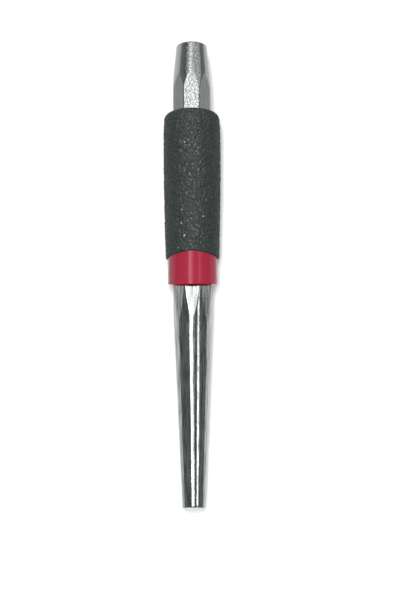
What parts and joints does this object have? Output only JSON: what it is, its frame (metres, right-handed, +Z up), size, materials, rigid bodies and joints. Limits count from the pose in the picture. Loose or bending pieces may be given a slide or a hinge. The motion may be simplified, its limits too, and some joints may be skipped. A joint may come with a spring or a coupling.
{
  "type": "center punch",
  "caption": "Solid steel hand punch with a long round taper to a flat tip, octagonal shank, coned struck head and a black grip over a red inner sleeve.",
  "frame": {"origin": "middle of the underside of the tool's bounding box, on the surface that the tool lies on", "axes": "+Y from the tip towards the struck head, +Z up; the tool's own axis lies in the YZ plane and rises about 2 degrees towards the head, as the tool balances on its grip; one flat of the octagon faces up"},
  "size_m": [0.0182, 0.1502, 0.0186],
  "materials": {
    "polished_steel": "bright nickel plate over ground steel, fine grain",
    "red_vinyl": "glossy crimson dipped vinyl",
    "black_rubber": "matt, fine pebbled texture"
  },
  "bodies": {
    "root": {"steel_punch": "polished_steel", "red_inner_sleeve": "red_vinyl", "black_outer_grip": "black_rubber"}
  },
  "joints": []
}
